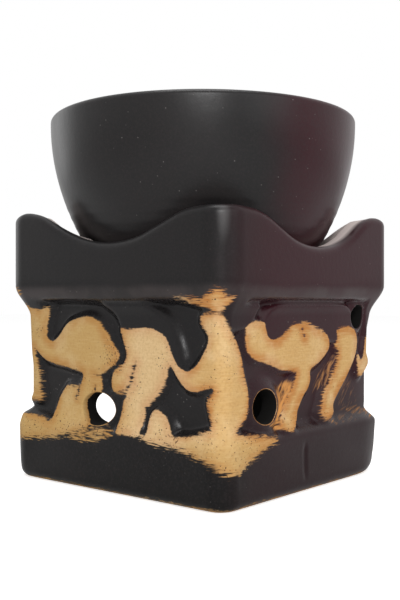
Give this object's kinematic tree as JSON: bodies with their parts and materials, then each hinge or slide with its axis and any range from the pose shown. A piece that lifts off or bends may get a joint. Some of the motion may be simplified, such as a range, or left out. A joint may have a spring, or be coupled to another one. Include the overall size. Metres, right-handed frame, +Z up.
{
  "type": "essential oil burner",
  "caption": "Square clay burner with a wavy crown, sunk waist with raised camel figures, vent holes and a back doorway, holding a tealight under a round lift-off oil bowl.",
  "frame": {"origin": "middle of the burner's underside, on the surface that it stands on", "axes": "+Z up through the bowl's axis, +Y towards the tealight doorway, -Y and -X the two walls in the picture"},
  "size_m": [0.096, 0.096, 0.1112],
  "materials": {
    "burner_clay": "satin near-black slip, scraped back to buff clay on the raised figures",
    "bowl_clay": "satin near-black slip",
    "cup_metal": "bright pressed foil",
    "wax": "cast paraffin wax",
    "wick_cotton": "waxed cotton",
    "sustainer_metal": "tinned"
  },
  "bodies": {
    "burner": {"burner_body": "burner_clay"},
    "bowl": {"oil_bowl": "bowl_clay"},
    "tealight": {"tealight_cup": "cup_metal", "candle_wax": "wax", "wick": "wick_cotton", "wick_sustainer": "sustainer_metal"}
  },
  "joints": [
    {"name": "bowl_lift", "type": "slide", "parent": "burner", "child": "bowl", "axis": [0, 0, 1], "range_m": [0, 0.06]},
    {"name": "tealight_slide", "type": "slide", "parent": "burner", "child": "tealight", "axis": [0, 1, 0], "range_m": [0, 0.075]}
  ]
}
